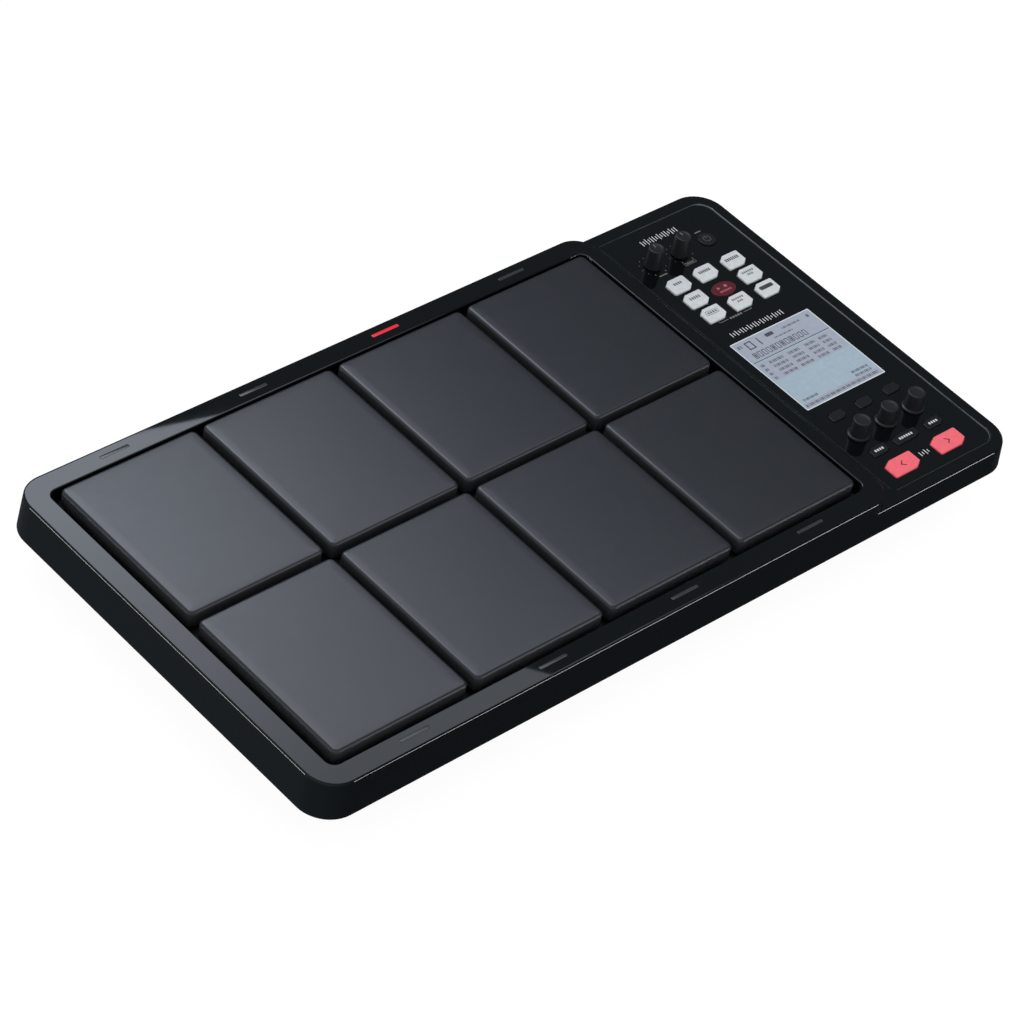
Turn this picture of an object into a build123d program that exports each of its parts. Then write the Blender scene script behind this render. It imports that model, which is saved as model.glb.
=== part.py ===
from build123d import *

import math
import os

# Electronic drum pad: eight rubber pads in a raised glossy block, with a control panel on the right.
# Units are millimetres. X runs along the long side, Y from the player to the jacks, Z up.
# The origin is under the middle of the case, on the surface that the feet stand on.

# ---------------------------------------------------------------- case
CASE_LENGTH = 530.0
CASE_DEPTH = 272.2
CASE_CORNER = 20.0
WALL = 2.5
PARTING_Z = 29.5            # lower edge of the upper shell
DECK_Z = 45.6               # top of the panel side
RIM_Z = 53.7                # top of the raised pad block
DRAFT = 4.16                # degrees that every outer wall leans in
EDGE_ROUND = 1.6
RIM_UNDER = RIM_Z - WALL
DECK_UNDER = 41.6
HALF_LENGTH = CASE_LENGTH / 2
HALF_DEPTH = CASE_DEPTH / 2
BLOCK_RIGHT = 161.3         # foot of the raised block's right wall
BLOCK_CORNER = 17.3

# ---------------------------------------------------------------- pads
COLUMNS = 4
ROWS = 2
PAD_WIDTH = 93.0
PAD_DEPTH = 114.0
PAD_PITCH_X = 98.2
PAD_PITCH_Y = 119.2
PAD_FIELD_X = -49.85        # middle of the field of pads
PAD_CORNER = 4.0
PAD_EDGE = 2.2
PAD_TOP_Z = 57.4
PAD_UNDER_Z = 46.9
PAD_TRAVEL = 1.0
PEG_RADIUS = 2.5
PEG_SPREAD = (72.0, 92.0)
PEG_END_Z = 38.0
WELL_LENGTH = 397.1
WELL_DEPTH = 241.0
WELL_CORNER = 5.5
WELL_LIP = 1.0
BED_TOP_Z = 43.0
BED_THICKNESS = 1.5
BED_LEFT = -252.5
BED_RIGHT = 155.5
BED_HALF_DEPTH = 130.0
BED_CORNER = 8.0
FOAM_GAP = 0.5              # left under a pad that is pressed right down
FOAM_TOP_Z = PAD_UNDER_Z - PAD_TRAVEL - FOAM_GAP
FOAM_OUTER = (88.0, 108.0)
FOAM_INNER = (58.0, 70.0)
SENSOR_RADIUS = 13.5
SENSOR_THICKNESS = 0.6

# ---------------------------------------------------------------- light bars on the rim
BAR_LENGTH = 20.0
BAR_WIDTH = 2.4
BAR_Y = {"rear": 127.6, "front": -126.1}
BAR_FLANGE = 1.0
LED_BOARD_TOP_Z = 48.0
LED_BOARD = (26.0, 5.6, 1.2)
LED_CHIP = (3.0, 2.0, 1.2)
LED_CHIP_SPREAD = 10.0
LED_POST_RADIUS = 1.0
LED_POST_SPREAD = LED_BOARD[0] - 2.4

# ---------------------------------------------------------------- control panel
PANEL_LEFT = 168.5
PANEL_RIGHT = 256.3
PANEL_HALF_DEPTH = 126.1
PANEL_CORNER = 10.0         # right-hand corners
PANEL_TIGHT_CORNER = 2.0    # corners beside the pad block
PANEL_TOP_Z = 44.8
PANEL_THICKNESS = 1.6
PANEL_UNDER_Z = PANEL_TOP_Z - PANEL_THICKNESS
PANEL_LEDGE = 3.0
PANEL_MID_X = (PANEL_LEFT + PANEL_RIGHT) / 2
FIT = 0.1                   # gap round pieces that are bonded or clipped together
CONTROL_X = (187.0, 209.4, 232.6)

# Push buttons: where they are, how large, and how far they stand proud of the panel
BUTTON_GAP = 0.3
BUTTON_FLANGE = 1.0
BUTTON_EDGE = 0.5
LEAF_CUT = (0.26, 0.25)     # share of the length and width cut off two corners
LEAF_CORNER = 1.0
FLANGE_TOP_Z = PANEL_UNDER_Z - 0.1
FLANGE_THICKNESS = 1.2
STEM_RADIUS = 2.5
STEM_END_Z = 38.6
FUNCTION_SIZE = (15.9, 12.2)
FUNCTION_Y = (74.0, 58.9, 43.8)
FUNCTION_PROUD = 1.0
FUNCTION_NAMES = (
    ("metronome_button", "mixer_button", "effects_button"),
    ("song_button", None, "reverb_button"),
    ("setup_button", "mute_button", "save_button"),
)
OVAL_PLACE = (209.1, 57.7)
OVAL_SIZE = (18.0, 11.5)
OVAL_PROUD = 0.4
SCREEN_KEY_SIZE = (12.0, 7.2)
SCREEN_KEY_Y = -61.5
MENU_KEY_SIZE = (13.4, 7.4)
MENU_KEY_WIDE = 19.5
MENU_KEY_Y = -96.1
KIT_KEY_SIZE = (22.7, 12.8)
KIT_KEY_X = (190.1, 228.3)
KIT_KEY_Y = -112.4
SMALL_PROUD = 0.7
POWER_PLACE = (232.6, 97.1)
POWER_RADIUS = 5.8
POWER_PROUD = 1.0

# Rotary controls
KNOB_BASE_Z = PANEL_TOP_Z + 0.3
VOLUME_Y = 95.9
VOLUME_X = (185.9, 208.4)
VOLUME_TOP_Z = 59.0
VOLUME_RADIUS = (5.5, 5.0)
ENCODER_Y = -80.2
ENCODER_X = (185.9, 208.9, 231.9)
ENCODER_TOP_Z = 57.1
ENCODER_RADIUS = (5.9, 5.4)
SKIRT_RADIUS = 6.8
SKIRT_HEIGHT = 1.2
KNOB_EDGE = 0.6
SHAFT_RADIUS = 3.0
SHAFT_FIT = 0.05            # running clearance of a shaft in its bushing
SHAFT_FOOT_Z = 34.5
SHAFT_TOP_GAP = 3.0

# Screen
SCREEN_MID = (208.05, -15.65)
SCREEN_SIZE = (65.7, 66.5)
LENS_THICKNESS = 1.5
LCD_FRAME = (72.0, 73.0)
LCD_UNDER_Z = 36.0
LCD_LEG_RADIUS = 1.5
LCD_LEG_SPREAD = (66.0, 67.0)

# ---------------------------------------------------------------- panel circuit board
PANEL_BOARD_TOP_Z = 33.0
BOARD_THICKNESS = 1.6
PANEL_BOARD = (90.0, 244.0)
SWITCH_SIZE = 6.0
SWITCH_TOP_Z = 36.3
PLUNGER_TOP_Z = 37.3
PLUNGER_RADIUS = 1.6
POT_SIZE = (11.0, 12.0)
POT_TOP_Z = 39.5
BUSHING_RADIUS = 3.9
BUSHING_TOP_Z = 42.8

# ---------------------------------------------------------------- lower chassis
CHASSIS_BOTTOM_Z = 4.0
CHASSIS_LIP_Z = 33.0
CHASSIS_INSET = 3.1         # from the upper shell's edge at the parting line
CHASSIS_TUCK = 22.0         # how much further in the floor is, on the left, right and front
CHASSIS_WALL = 3.2          # measured level, through the sloping walls
FLOOR_TOP_Z = CHASSIS_BOTTOM_Z + 2.5
FOOT_RADIUS = 11.0
FOOT_PLACES = ((-205.0, -90.0), (205.0, -90.0), (-205.0, 105.0), (205.0, 105.0))
FOOT_PLUG_RADIUS = 4.0
REAR_WALL_Y = HALF_DEPTH - CHASSIS_INSET

# Stand mounting plate, flush with the underside
MOUNT_SPACING = (100.0, 60.0)
MOUNT_HOLE_RADIUS = 2.5     # tapping size of M6
MOUNT_MID_Y = 10.0
MOUNT_WINDOW = (136.0, 96.0)
MOUNT_FLANGE = (152.0, 112.0)
MOUNT_FLANGE_THICKNESS = 2.0

# ---------------------------------------------------------------- main board and sockets
MAIN_BOARD_TOP_Z = 10.6
MAIN_BOARD_X = (-228.0, 40.0)
MAIN_BOARD_Y = (68.0, 127.0)
SOCKET_Z = 17.6
SOCKET_FACE_Y = REAR_WALL_Y + 1.5
WALL_INNER_Y = REAR_WALL_Y - CHASSIS_WALL
JACK_X = (-120.0, -96.0, -72.0, -40.0, -16.0, 14.0)
JACK_BORE = 3.25
JACK_BUSHING = 4.6
JACK_RING = 6.5
JACK_BODY = (14.5, 20.0)
JACK_BODY_TOP_Z = 24.2
JACK_DEPTH = 21.0
MIDI_X = -166.0
USB_X = -190.0
INLET_X = -212.0
HOLE_PLAY = 0.25
MIDI_BODY = (18.0, 14.0)
MIDI_RADIUS = 8.7
MIDI_SLOT = (6.2, 7.1)
MIDI_PIN_CIRCLE = 4.45
MIDI_PIN_RADIUS = 0.8
MIDI_DEPTH = 9.0
USB_BODY = (12.0, 12.0)
USB_SHELL = (12.0, 11.0)
USB_MOUTH = (8.5, 7.8)
USB_TONGUE = (5.6, 3.2)
USB_DEPTH = 9.0
INLET_BODY = (11.0, 13.0)
INLET_RADIUS = 5.0
INLET_BORE = 3.2
INLET_PIN = 1.0
INLET_DEPTH = 9.5
TONGUE_SETBACK = 1.0        # of a socket's tongue or pin behind its face
SOCKET_BODY_FRONT_Y = WALL_INNER_Y - FIT

# Parts on the main board; a flat chip is its place along X, length, width and height
CHIP_Y = 88.0
FLAT_CHIPS = ((-170.0, 24.0, 24.0, 2.0), (-135.0, 14.0, 20.0, 1.4), (-60.0, 10.0, 10.0, 1.6))
CAPACITOR_X = (-205.0, 0.0, 16.0)
CAPACITOR_RADIUS = 5.0
CAPACITOR_HEIGHT = 11.0

# ---------------------------------------------------------------- screws
SCREW_RADIUS = 1.5
SCREW_HEAD_RADIUS = 2.8
SCREW_HEAD_HEIGHT = 1.8
SHORT_SCREW = 7.0
BOARD_SCREW = 5.0           # reach of the same screw above the floor
CASE_SCREW = 14.0
BOSS_RADIUS = 3.7
THIN_BOSS_RADIUS = 3.0
BOSS_SPARE = 0.2            # depth of a hole beyond the end of its screw
TOWER_RADIUS = 5.2
TOWER_SEAT_Z = 28.0
BOSS_END_Z = CHASSIS_LIP_Z + 0.2
CASE_SCREW_PLACES = (
    (-252.8, 125.2), (-252.8, -125.2), (254.0, 125.0), (254.0, -125.0),
    (-147.6, 127.4), (-147.6, -127.4), (49.0, 127.4), (49.0, -127.4),
)
BED_SCREW_PLACES = tuple((x, side * 127.2) for x in (-228.0, -49.5, 128.0) for side in (1, -1))
PANEL_SCREW_PLACES = tuple((x, y) for x in (171.5, 253.0) for y in (-105.0, 30.0, 110.0))
MAIN_SCREW_PLACES = tuple((x, y) for x in (-222.0, -94.0, 34.0) for y in (72.0, 100.0))
MOUNT_SCREW_PLACES = tuple(
    (x * 71.8, MOUNT_MID_Y + y * 51.8) for x in (1, -1) for y in (1, -1)
)

NODES = {}


def keep(name, shape):
    """Remember a finished piece under its node name."""
    NODES[name] = shape


def slab(x_range, y_range, z_range, corner=0.0):
    """A plate or block given by its ranges, with upright corners rounded if asked."""
    width = x_range[1] - x_range[0]
    depth = y_range[1] - y_range[0]
    middle = Pos((x_range[0] + x_range[1]) / 2, (y_range[0] + y_range[1]) / 2, z_range[0])
    outline = RectangleRounded(width, depth, corner) if corner else Rectangle(width, depth)
    return extrude(middle * outline, z_range[1] - z_range[0])


def centred_slab(middle, size, z_range, corner=0.0):
    """A plate or block centred on a point of the plan."""
    x, y = middle
    return slab(
        (x - size[0] / 2, x + size[0] / 2), (y - size[1] / 2, y + size[1] / 2), z_range, corner
    )


def drum(place, radius, z_range):
    """An upright cylinder."""
    return extrude(Pos(place[0], place[1], z_range[0]) * Circle(radius), z_range[1] - z_range[0])


def rear_drum(x, radius, y_range, z=SOCKET_Z):
    """A cylinder that points at the rear."""
    plane = Plane(origin=(x, y_range[0], z), x_dir=(1, 0, 0), z_dir=(0, 1, 0))
    return extrude(plane * Circle(radius), y_range[1] - y_range[0])


def top_edges(solid):
    """The edges round the highest face."""
    return solid.faces().sort_by(Axis.Z)[-1].edges()


def join(pieces):
    """Several separate pieces that share one node."""
    return Compound(children=[piece.solid() for piece in pieces])


# ---------------------------------------------------------------- upper shell
def drafted(x_range, corner, z_top, inset=0.0):
    """A block whose foot is on the parting line and whose walls lean in by the draft."""
    width = x_range[1] - x_range[0] - 2 * inset
    middle = Pos((x_range[0] + x_range[1]) / 2, 0, PARTING_Z)
    outline = middle * RectangleRounded(width, CASE_DEPTH - 2 * inset, corner - inset)
    return extrude(outline, z_top - PARTING_Z, taper=DRAFT)


def pad_block(z_top, inset=0.0):
    """The raised half: the case's own left corners, and tighter corners beside the panel."""
    whole_case = drafted((-HALF_LENGTH, HALF_LENGTH), CASE_CORNER, z_top, inset)
    overrun = -HALF_LENGTH - 2 * CASE_CORNER
    return whole_case & drafted((overrun, BLOCK_RIGHT), BLOCK_CORNER, z_top, inset)


def rounded_top(solid, radius):
    """Round over the edges of the highest face."""
    return fillet(top_edges(solid), radius)


def bar_places():
    """Middle of every light bar: one above each rear pad, one below each front pad."""
    pitches = [column - (COLUMNS - 1) / 2 for column in range(COLUMNS)]
    return [(PAD_FIELD_X + pitch * PAD_PITCH_X, y) for y in BAR_Y.values() for pitch in pitches]


def well(grow, z_range):
    """The opening that the pads sit in, grown on every side."""
    size = (WELL_LENGTH + 2 * grow, WELL_DEPTH + 2 * grow)
    return centred_slab((PAD_FIELD_X, 0), size, z_range, WELL_CORNER + grow)


def panel_outline(grow, z_range):
    """The recessed control panel's outline, grown on every side."""
    x_range = (PANEL_LEFT - grow, PANEL_RIGHT + grow)
    y_range = (-PANEL_HALF_DEPTH - grow, PANEL_HALF_DEPTH + grow)
    tight_corner = max(PANEL_TIGHT_CORNER + grow, 0.5)
    left_half = slab((x_range[0], PANEL_MID_X), y_range, z_range, tight_corner)
    return slab(x_range, y_range, z_range, PANEL_CORNER + grow) + left_half


def boss(place, radius, z_range, screw_reach):
    """A boss that hangs from the shell, and the hole in it for a screw from below."""
    hole = drum(place, SCREW_RADIUS + FIT, (z_range[0], z_range[0] + screw_reach + BOSS_SPARE))
    return drum(place, radius, z_range), hole


def shell_bosses():
    """Bosses for the case screws, the bed plate and the panel board, with their holes."""
    bosses = []
    for place in CASE_SCREW_PLACES:
        ceiling = RIM_UNDER if place[0] < BLOCK_RIGHT else DECK_UNDER
        reach = TOWER_SEAT_Z + CASE_SCREW - BOSS_END_Z
        bosses.append(boss(place, BOSS_RADIUS, (BOSS_END_Z, ceiling), reach))
    for place in BED_SCREW_PLACES:
        reach = SHORT_SCREW - BED_THICKNESS
        bosses.append(boss(place, BOSS_RADIUS, (BED_TOP_Z, RIM_UNDER), reach))
    for place in PANEL_SCREW_PLACES:
        reach = SHORT_SCREW - BOARD_THICKNESS
        bosses.append(boss(place, THIN_BOSS_RADIUS, (PANEL_BOARD_TOP_Z, DECK_UNDER), reach))
    return bosses


def well_lip(shell):
    """The upper edges of the opening that the pads sit in."""
    at_rim = shell.edges().filter_by_position(Axis.Z, RIM_Z - 0.01, RIM_Z + 0.01)
    return [
        edge for edge in at_rim
        if abs(edge.center().X - PAD_FIELD_X) < WELL_LENGTH / 2 + 1
        and abs(edge.center().Y) < WELL_DEPTH / 2 + 1
    ]


def bar_openings(shell):
    """Cut the slots for the light bars and add two posts beside each for its board."""
    for x, y in bar_places():
        slot = centred_slab((x, y), (BAR_LENGTH, BAR_WIDTH), (RIM_UNDER - 1, RIM_Z + 1), BAR_WIDTH / 3)
        shell -= slot
        for side in (-1, 1):
            post = (x + side * LED_POST_SPREAD / 2, y)
            shell += drum(post, LED_POST_RADIUS, (LED_BOARD_TOP_Z, RIM_UNDER))
    return shell


def upper_shell():
    deck = rounded_top(drafted((-HALF_LENGTH, HALF_LENGTH), CASE_CORNER, DECK_Z), EDGE_ROUND)
    block = rounded_top(pad_block(RIM_Z), EDGE_ROUND)
    shell = deck + block
    shell -= drafted((-HALF_LENGTH, HALF_LENGTH), CASE_CORNER, DECK_UNDER, WALL)
    shell -= pad_block(RIM_UNDER, WALL)
    shell += well(WALL, (BED_TOP_Z + 0.2, RIM_UNDER)) & pad_block(RIM_UNDER, WALL)
    shell -= well(0, (BED_TOP_Z, RIM_Z))
    shell = fillet(well_lip(shell), WELL_LIP)
    shell -= panel_outline(0, (PANEL_UNDER_Z, DECK_Z))
    shell -= panel_outline(-PANEL_LEDGE, (DECK_UNDER - 1, PANEL_UNDER_Z))
    shell = bar_openings(shell)
    for solid, hole in shell_bosses():
        shell = shell + solid - hole
    return shell


def light_bars():
    """Clear bars, flush with the rim, each with a flange that stops under it."""
    bars = []
    for place in bar_places():
        top = centred_slab(
            place, (BAR_LENGTH - 2 * FIT, BAR_WIDTH - 2 * FIT), (RIM_UNDER, RIM_Z), BAR_WIDTH / 3 - FIT
        )
        size = (BAR_LENGTH - 2 * FIT, BAR_WIDTH + 2 * BAR_FLANGE)
        bars.append(top + centred_slab(place, size, (RIM_UNDER - BAR_FLANGE, RIM_UNDER)))
    return join(bars)


def led_boards():
    """A short board with two light-emitting chips under every bar."""
    boards = []
    for x, y in bar_places():
        board = centred_slab((x, y), LED_BOARD[:2], (LED_BOARD_TOP_Z - LED_BOARD[2], LED_BOARD_TOP_Z))
        for side in (-1, 1):
            chip_top = LED_BOARD_TOP_Z + LED_CHIP[2]
            chip = (x + side * LED_CHIP_SPREAD / 2, y)
            board += centred_slab(chip, LED_CHIP[:2], (LED_BOARD_TOP_Z, chip_top))
        boards.append(board)
    return join(boards)


# ---------------------------------------------------------------- pads
def pad_places():
    """Middle of every pad, rear row first, from the left."""
    places = []
    for row in range(ROWS):
        y = (0.5 - row) * PAD_PITCH_Y
        for column in range(COLUMNS):
            x = PAD_FIELD_X + (column - (COLUMNS - 1) / 2) * PAD_PITCH_X
            places.append((x, y))
    return places


def peg_places(place):
    """The four guide pegs under a pad."""
    half_x = PEG_SPREAD[0] / 2
    half_y = PEG_SPREAD[1] / 2
    return [(place[0] + i * half_x, place[1] + j * half_y) for i in (-1, 1) for j in (-1, 1)]


def rubber_pad(place):
    block = centred_slab(place, (PAD_WIDTH, PAD_DEPTH), (PAD_UNDER_Z, PAD_TOP_Z), PAD_CORNER)
    pad = rounded_top(block, PAD_EDGE)
    for peg in peg_places(place):
        pad += drum(peg, PEG_RADIUS, (PEG_END_Z, PAD_UNDER_Z))
    return pad


def bed_plate():
    """Steel plate that carries the pads, with a hole for every peg and screw."""
    z_range = (BED_TOP_Z - BED_THICKNESS, BED_TOP_Z)
    plate = slab((BED_LEFT, BED_RIGHT), (-BED_HALF_DEPTH, BED_HALF_DEPTH), z_range, BED_CORNER)
    for place in pad_places():
        for peg in peg_places(place):
            plate -= drum(peg, PEG_RADIUS + FIT, z_range)
    for place in CASE_SCREW_PLACES:
        plate -= drum(place, BOSS_RADIUS + 0.4, z_range)
    for place in BED_SCREW_PLACES:
        plate -= drum(place, SCREW_RADIUS + FIT, z_range)
    return plate


def foam_frames():
    """A foam frame under each pad, a little lower than the pad at the end of its travel."""
    frames = []
    for place in pad_places():
        frame = centred_slab(place, FOAM_OUTER, (BED_TOP_Z, FOAM_TOP_Z), PAD_CORNER)
        frame -= centred_slab(place, FOAM_INNER, (BED_TOP_Z, FOAM_TOP_Z), PAD_CORNER)
        for peg in peg_places(place):
            frame -= drum(peg, PEG_RADIUS + 0.8, (BED_TOP_Z, FOAM_TOP_Z))
        frames.append(frame)
    return join(frames)


def sensors():
    """A piezo disc in the middle of each foam frame."""
    z_range = (BED_TOP_Z, BED_TOP_Z + SENSOR_THICKNESS)
    return join([drum(place, SENSOR_RADIUS, z_range) for place in pad_places()])


# ---------------------------------------------------------------- push buttons
def leaf(middle, size, grow=0.0):
    """Outline with two opposite corners cut off; every corner is then rounded a little."""
    half_x = size[0] / 2 + grow
    half_y = size[1] / 2 + grow
    cut_x = LEAF_CUT[0] * size[0]
    cut_y = LEAF_CUT[1] * size[1]
    outline = Polygon(
        (-half_x, -half_y), (half_x - cut_x, -half_y), (half_x, cut_y - half_y),
        (half_x, half_y), (cut_x - half_x, half_y), (-half_x, half_y - cut_y),
        align=None,
    )
    return Pos(middle[0], middle[1], 0) * fillet(outline.vertices(), LEAF_CORNER + grow)


def oval(middle, size, grow=0.0):
    """Ellipse outline."""
    return Pos(middle[0], middle[1], 0) * Ellipse(size[0] / 2 + grow, size[1] / 2 + grow)


def push_buttons():
    """Every push button: name, outline, middle, size, height above the panel."""
    buttons = []
    for y, names in zip(FUNCTION_Y, FUNCTION_NAMES):
        for x, name in zip(CONTROL_X, names):
            if name:
                buttons.append((name, leaf, (x, y), FUNCTION_SIZE, FUNCTION_PROUD))
    buttons.append(("start_button", oval, OVAL_PLACE, OVAL_SIZE, OVAL_PROUD))
    for number, x in enumerate(CONTROL_X, 1):
        name = f"screen_key_{number}"
        buttons.append((name, leaf, (x, SCREEN_KEY_Y), SCREEN_KEY_SIZE, SMALL_PROUD))
    for name, x in zip(("menu_button", "click_button", "back_button"), CONTROL_X):
        width = MENU_KEY_WIDE if name == "click_button" else MENU_KEY_SIZE[0]
        size = (width, MENU_KEY_SIZE[1])
        buttons.append((name, leaf, (x, MENU_KEY_Y), size, SMALL_PROUD))
    for name, x in zip(("kit_down_button", "kit_up_button"), KIT_KEY_X):
        buttons.append((name, leaf, (x, KIT_KEY_Y), KIT_KEY_SIZE, FUNCTION_PROUD))
    size = (2 * POWER_RADIUS, 2 * POWER_RADIUS)
    buttons.append(("power_button", oval, POWER_PLACE, size, POWER_PROUD))
    return buttons


def raise_outline(outline, z_range):
    """Turn a flat outline into a block."""
    return extrude(Pos(0, 0, z_range[0]) * outline, z_range[1] - z_range[0])


def button(outline, middle, size, proud):
    """A cap through the panel, a flange that stops under it, and a stem for the switch."""
    cap = raise_outline(outline(middle, size), (FLANGE_TOP_Z, PANEL_TOP_Z + proud))
    cap = rounded_top(cap, min(BUTTON_EDGE, 0.7 * proud))
    flange = raise_outline(
        outline(middle, size, BUTTON_FLANGE), (FLANGE_TOP_Z - FLANGE_THICKNESS, FLANGE_TOP_Z)
    )
    return cap + flange + drum(middle, STEM_RADIUS, (STEM_END_Z, FLANGE_TOP_Z))


# ---------------------------------------------------------------- control panel
def screen_slab(grow, z_range, corner=0.6):
    size = (SCREEN_SIZE[0] + 2 * grow, SCREEN_SIZE[1] + 2 * grow)
    return centred_slab(SCREEN_MID, size, z_range, corner)


def panel_plate():
    """Glossy panel with a hole for every control and the screen."""
    z_range = (PANEL_UNDER_Z, PANEL_TOP_Z)
    plate = panel_outline(-FIT, z_range)
    plate -= screen_slab(FIT, z_range)
    for name, outline, middle, size, proud in push_buttons():
        plate -= raise_outline(outline(middle, size, BUTTON_GAP), z_range)
    for place in knob_places():
        plate -= drum(place, SHAFT_RADIUS + 0.5, z_range)
    return plate


def lcd_module():
    """Framed display on four legs that stand on the panel board."""
    top = PANEL_UNDER_Z - FIT
    module = centred_slab(SCREEN_MID, LCD_FRAME, (LCD_UNDER_Z, top), 1.0)
    for i in (-1, 1):
        for j in (-1, 1):
            leg = (SCREEN_MID[0] + i * LCD_LEG_SPREAD[0] / 2, SCREEN_MID[1] + j * LCD_LEG_SPREAD[1] / 2)
            module += drum(leg, LCD_LEG_RADIUS, (PANEL_BOARD_TOP_Z, LCD_UNDER_Z))
    return module


def panel_board():
    z_range = (PANEL_BOARD_TOP_Z - BOARD_THICKNESS, PANEL_BOARD_TOP_Z)
    board = centred_slab((PANEL_MID_X, 0), PANEL_BOARD, z_range, 3.0)
    for place in CASE_SCREW_PLACES:
        board -= drum(place, TOWER_RADIUS + 0.5, z_range)
    for place in PANEL_SCREW_PLACES:
        board -= drum(place, SCREW_RADIUS + FIT, z_range)
    return board


def tact_switches():
    """A switch under the stem of every button."""
    switches = []
    for name, outline, middle, size, proud in push_buttons():
        body = centred_slab(middle, (SWITCH_SIZE, SWITCH_SIZE), (PANEL_BOARD_TOP_Z, SWITCH_TOP_Z))
        switches.append(body + drum(middle, PLUNGER_RADIUS, (SWITCH_TOP_Z, PLUNGER_TOP_Z)))
    return join(switches)


# ---------------------------------------------------------------- knobs
def volume_places():
    return [(x, VOLUME_Y) for x in VOLUME_X]


def encoder_places():
    return [(x, ENCODER_Y) for x in ENCODER_X]


def knob_places():
    return volume_places() + encoder_places()


def shaft_height(top_z):
    return top_z - SHAFT_TOP_GAP


def knob(place, radii, top_z, skirt=False):
    """A tapered cap with a blind bore for its shaft, and a low skirt if asked."""
    profile = Pos(place[0], place[1], KNOB_BASE_Z) * Circle(radii[0])
    height = top_z - KNOB_BASE_Z
    taper = math.degrees(math.atan((radii[0] - radii[1]) / height))
    cap = rounded_top(extrude(profile, height, taper=taper), KNOB_EDGE)
    if skirt:
        cap += drum(place, SKIRT_RADIUS, (KNOB_BASE_Z, KNOB_BASE_Z + SKIRT_HEIGHT))
    return cap - drum(place, SHAFT_RADIUS + SHAFT_FIT, (KNOB_BASE_Z, shaft_height(top_z) + FIT))


def shaft(place, top_z):
    """Round shaft from inside the control's body up into the knob."""
    return drum(place, SHAFT_RADIUS, (SHAFT_FOOT_Z, shaft_height(top_z)))


def rotary_bodies(places):
    """Body and bushing of a potentiometer or encoder, bored for the shaft."""
    bodies = []
    for place in places:
        body = centred_slab(place, POT_SIZE, (PANEL_BOARD_TOP_Z, POT_TOP_Z), 0.8)
        body += drum(place, BUSHING_RADIUS, (POT_TOP_Z, BUSHING_TOP_Z))
        body -= drum(place, SHAFT_RADIUS + SHAFT_FIT, (SHAFT_FOOT_Z - 0.5, BUSHING_TOP_Z))
        bodies.append(body)
    return join(bodies)


# ---------------------------------------------------------------- lower chassis
def chassis_section(z, inset):
    """Outline of the chassis at a height: it tucks in towards the floor on three sides."""
    share = (PARTING_Z - z) / (PARTING_Z - CHASSIS_BOTTOM_Z)
    tuck = CHASSIS_INSET + CHASSIS_TUCK * max(share, 0.0) + inset
    front = -HALF_DEPTH + tuck
    rear = REAR_WALL_Y - inset
    corner = CASE_CORNER - CHASSIS_INSET - inset - 4 * max(share, 0.0)
    middle = Pos(0, (front + rear) / 2, z)
    return middle * RectangleRounded(CASE_LENGTH - 2 * tuck, rear - front, corner)


def chassis_body(floor_z, inset):
    """The tub's shape: sloping walls up to the parting line, then an upright lip."""
    lower = chassis_section(floor_z, inset)
    upper = chassis_section(PARTING_Z, inset)
    return loft([lower, upper], ruled=True) + extrude(upper, CHASSIS_LIP_Z - PARTING_Z)


def lower_chassis():
    outside = chassis_body(CHASSIS_BOTTOM_Z, 0)
    tub = outside - chassis_body(FLOOR_TOP_Z, CHASSIS_WALL)
    for place in CASE_SCREW_PLACES:
        tub += drum(place, TOWER_RADIUS, (CHASSIS_BOTTOM_Z, CHASSIS_LIP_Z)) & outside
    for place in CASE_SCREW_PLACES:
        tub -= drum(place, SCREW_HEAD_RADIUS + 0.5, (CHASSIS_BOTTOM_Z, TOWER_SEAT_Z))
        tub -= drum(place, SCREW_RADIUS + 0.3, (TOWER_SEAT_Z, CHASSIS_LIP_Z))
    for place in MAIN_SCREW_PLACES:
        tub += drum(place, BOSS_RADIUS, (FLOOR_TOP_Z, MAIN_BOARD_TOP_Z - BOARD_THICKNESS))
        tub -= drum(place, SCREW_RADIUS + FIT, (MAIN_BOARD_TOP_Z - BOARD_SCREW - 0.4, MAIN_BOARD_TOP_Z))
    for place in FOOT_PLACES:
        tub -= drum(place, FOOT_PLUG_RADIUS + FIT, (CHASSIS_BOTTOM_Z, FLOOR_TOP_Z))
    tub -= centred_slab((0, MOUNT_MID_Y), MOUNT_WINDOW, (CHASSIS_BOTTOM_Z, FLOOR_TOP_Z), 4.0)
    for place in MOUNT_SCREW_PLACES:
        tub -= drum(place, SCREW_RADIUS + FIT, (CHASSIS_BOTTOM_Z, FLOOR_TOP_Z))
    wall_range = (WALL_INNER_Y - 1, REAR_WALL_Y + 1)
    for x in JACK_X:
        tub -= rear_drum(x, JACK_BUSHING + HOLE_PLAY, wall_range)
    tub -= rear_drum(MIDI_X, MIDI_RADIUS + HOLE_PLAY, wall_range)
    tub -= rear_drum(INLET_X, INLET_RADIUS + HOLE_PLAY, wall_range)
    usb_size = (USB_SHELL[0] + 2 * HOLE_PLAY, wall_range[1] - wall_range[0])
    usb_z = (SOCKET_Z - USB_SHELL[1] / 2 - HOLE_PLAY, SOCKET_Z + USB_SHELL[1] / 2 + HOLE_PLAY)
    tub -= centred_slab((USB_X, sum(wall_range) / 2), usb_size, usb_z)
    return tub


def rubber_feet():
    feet = []
    for place in FOOT_PLACES:
        disc = drum(place, FOOT_RADIUS, (0, CHASSIS_BOTTOM_Z))
        disc = fillet(disc.faces().sort_by(Axis.Z)[0].edges(), 1.0)
        feet.append(disc + drum(place, FOOT_PLUG_RADIUS, (CHASSIS_BOTTOM_Z, FLOOR_TOP_Z + 1)))
    return join(feet)


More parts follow.
